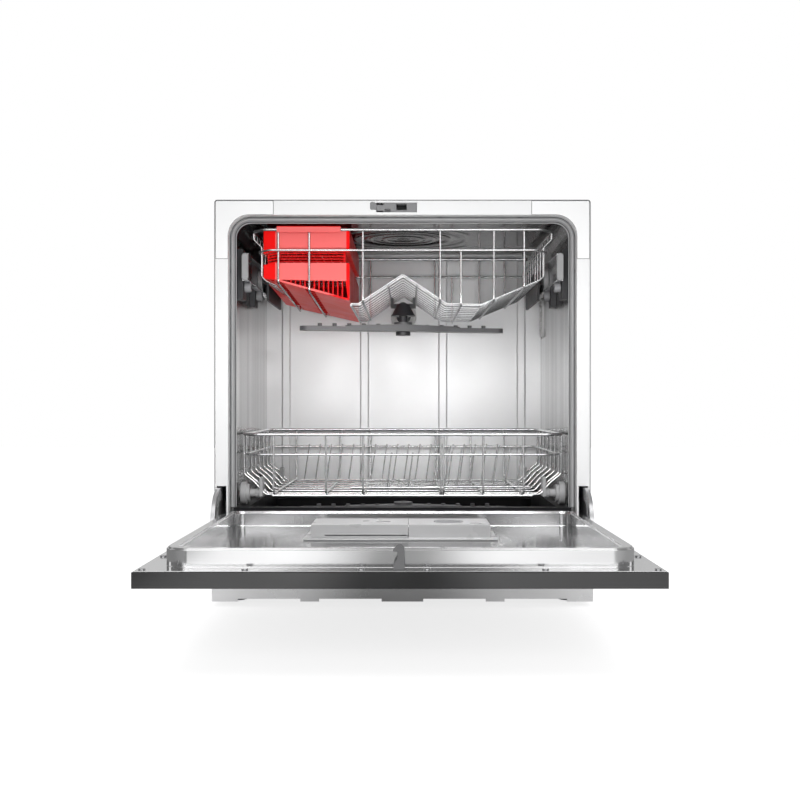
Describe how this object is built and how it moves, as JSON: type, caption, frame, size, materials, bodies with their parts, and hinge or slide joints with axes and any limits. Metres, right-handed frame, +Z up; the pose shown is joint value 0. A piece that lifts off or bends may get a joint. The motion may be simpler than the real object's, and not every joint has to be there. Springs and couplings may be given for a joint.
{
  "type": "countertop dishwasher",
  "caption": "White countertop dishwasher with a drop-down door, sliding upper and lower wire racks, spray arms and a red cutlery basket.",
  "frame": {"origin": "middle of the cabinet's width, at the white frame's front face, on the surface that the feet stand on; this is also the middle of the whole object's box with the door open", "axes": "+X to the right seen from the front, +Y to the back, +Z up"},
  "size_m": [0.55, 0.9745, 0.59],
  "materials": {
    "white_paint": "smooth white enamel",
    "zinc_sheet": "plain galvanised sheet",
    "stainless": "brushed stainless sheet",
    "plated_steel": "zinc-plated steel",
    "coated_wire": "nylon-coated steel wire",
    "red_plastic": "satin red polypropylene",
    "white_plastic": "satin white moulding",
    "white_gloss": "glossy white moulding",
    "grey_plastic": "light grey moulding",
    "dark_plastic": "dark grey moulding",
    "seal_rubber": "soft grey rubber",
    "black_gloss": "black glossy front",
    "board_green": "circuit board"
  },
  "bodies": {
    "cabinet": {"outer_wrap": "white_paint", "back_panel": "zinc_sheet", "base_pan": "dark_plastic", "plinth": "stainless", "feet": "grey_plastic", "front_frame": "white_plastic", "frame_corners": "white_gloss", "tub_wrap": "stainless", "tub_back": "stainless", "tub_floor": "dark_plastic", "door_gasket": "seal_rubber", "latch_lock": "grey_plastic", "hinge_brackets": "plated_steel", "hinge_pins": "plated_steel", "door_springs": "plated_steel", "sump": "grey_plastic", "filter_plate": "stainless", "salt_container": "white_plastic", "wash_pump": "dark_plastic", "drain_pump": "dark_plastic", "heater": "plated_steel", "inlet_valve": "white_plastic", "drain_outlet": "dark_plastic", "cord_gland": "seal_rubber", "water_box": "white_plastic", "rear_duct": "white_plastic", "docking_ring": "white_plastic", "rail_guides": "dark_plastic"},
    "guides_front": {"guide_rollers_front": "grey_plastic"},
    "guides_rear": {"guide_rollers_rear": "grey_plastic"},
    "rails": {"upper_rails": "stainless", "rail_caps": "grey_plastic"},
    "upper_basket": {"upper_rack": "coated_wire", "cutlery_basket": "red_plastic", "rack_carriers": "dark_plastic", "upper_feed": "dark_plastic"},
    "upper_front_wheels": {"upper_wheels_front": "grey_plastic"},
    "upper_rear_wheels": {"upper_wheels_rear": "grey_plastic"},
    "upper_arm": {"upper_spray_arm": "grey_plastic"},
    "lower_basket": {"lower_rack": "coated_wire", "wheel_clips": "grey_plastic"},
    "lower_front_wheels": {"lower_wheels_front": "grey_plastic"},
    "lower_rear_wheels": {"lower_wheels_rear": "grey_plastic"},
    "folding_tines": {"tine_row": "coated_wire"},
    "lower_arm": {"lower_spray_arm": "grey_plastic"},
    "filter": {"filter_cup": "grey_plastic"},
    "salt_lid": {"salt_cap": "grey_plastic"},
    "door": {"door_outer": "black_gloss", "door_inner": "stainless", "hinge_straps": "plated_steel", "dispenser_body": "grey_plastic", "latch_hook": "grey_plastic", "control_board": "board_green", "door_screws": "plated_steel"},
    "detergent_lid": {"dispenser_lid": "grey_plastic"},
    "rinse_lid": {"rinse_cap": "grey_plastic"},
    "power_key": {"power_button": "dark_plastic"},
    "start_key": {"start_button": "dark_plastic"}
  },
  "joints": [
    {"name": "door_hinge", "type": "hinge", "parent": "cabinet", "child": "door", "pos_m": [0, -0.012, 0.1135], "axis": [1, 0, 0], "range_deg": [-90, 0]},
    {"name": "lower_rack_slide", "type": "slide", "parent": "cabinet", "child": "lower_basket", "axis": [0, -1, 0], "range_m": [0, 0.3]},
    {"name": "lower_front_roll", "type": "hinge", "parent": "lower_basket", "child": "lower_front_wheels", "pos_m": [0, 0.062, 0.1568], "axis": [1, 0, 0], "continuous": true},
    {"name": "lower_rear_roll", "type": "hinge", "parent": "lower_basket", "child": "lower_rear_wheels", "pos_m": [0, 0.332, 0.1568], "axis": [1, 0, 0], "continuous": true},
    {"name": "upper_rack_slide", "type": "slide", "parent": "cabinet", "child": "upper_basket", "axis": [0, -1, 0], "range_m": [0, 0.3]},
    {"name": "rail_slide", "type": "slide", "parent": "cabinet", "child": "rails", "axis": [0, -1, 0], "range_m": [0, 0.15]},
    {"name": "guide_front_roll", "type": "hinge", "parent": "cabinet", "child": "guides_front", "pos_m": [0, 0.06, 0.4677], "axis": [1, 0, 0], "continuous": true},
    {"name": "guide_rear_roll", "type": "hinge", "parent": "cabinet", "child": "guides_rear", "pos_m": [0, 0.19, 0.4677], "axis": [1, 0, 0], "continuous": true},
    {"name": "upper_front_roll", "type": "hinge", "parent": "upper_basket", "child": "upper_front_wheels", "pos_m": [0, 0.205, 0.4955], "axis": [1, 0, 0], "continuous": true},
    {"name": "upper_rear_roll", "type": "hinge", "parent": "upper_basket", "child": "upper_rear_wheels", "pos_m": [0, 0.345, 0.4955], "axis": [1, 0, 0], "continuous": true},
    {"name": "upper_arm_spin", "type": "hinge", "parent": "upper_basket", "child": "upper_arm", "pos_m": [0, 0.2, 0.42], "axis": [0, 0, 1], "continuous": true},
    {"name": "lower_arm_spin", "type": "hinge", "parent": "cabinet", "child": "lower_arm", "pos_m": [0, 0.2, 0.12], "axis": [0, 0, 1], "continuous": true},
    {"name": "tine_fold", "type": "hinge", "parent": "lower_basket", "child": "folding_tines", "pos_m": [0, 0.122, 0.16255], "axis": [1, 0, 0], "range_deg": [-80, 0]},
    {"name": "filter_turn", "type": "hinge", "parent": "cabinet", "child": "filter", "pos_m": [0.076, 0.2, 0.1], "axis": [0, 0, 1], "range_deg": [0, 90]},
    {"name": "salt_cap_turn", "type": "hinge", "parent": "cabinet", "child": "salt_lid", "pos_m": [-0.135, 0.11, 0.11], "axis": [0, 0, 1], "range_deg": [0, 270]},
    {"name": "detergent_lid_slide", "type": "slide", "parent": "door", "child": "detergent_lid", "axis": [0, 1, 0], "range_m": [0, 0.06]},
    {"name": "rinse_cap_turn", "type": "hinge", "parent": "door", "child": "rinse_lid", "pos_m": [0.0604, -0.183, 0.13], "axis": [0, 0, 1], "range_deg": [0, 90]},
    {"name": "power_push", "type": "slide", "parent": "door", "child": "power_key", "axis": [0, 0, 1], "range_m": [0, 0.002], "stiffness_N_per_m": 400, "springref_m": -0.001},
    {"name": "start_push", "type": "slide", "parent": "door", "child": "start_key", "axis": [0, 0, 1], "range_m": [0, 0.002], "stiffness_N_per_m": 400, "springref_m": -0.001}
  ],
  "couplings": [
    {"joint": "lower_front_roll", "follows": "lower_rack_slide", "rad_per_m": 58.824},
    {"joint": "lower_rear_roll", "follows": "lower_rack_slide", "rad_per_m": 58.824},
    {"joint": "rail_slide", "follows": "upper_rack_slide", "ratio": 0.5},
    {"joint": "guide_front_roll", "follows": "upper_rack_slide", "rad_per_m": 71.429},
    {"joint": "guide_rear_roll", "follows": "upper_rack_slide", "rad_per_m": 71.429},
    {"joint": "upper_front_roll", "follows": "upper_rack_slide", "rad_per_m": 27.174},
    {"joint": "upper_rear_roll", "follows": "upper_rack_slide", "rad_per_m": 27.174}
  ]
}
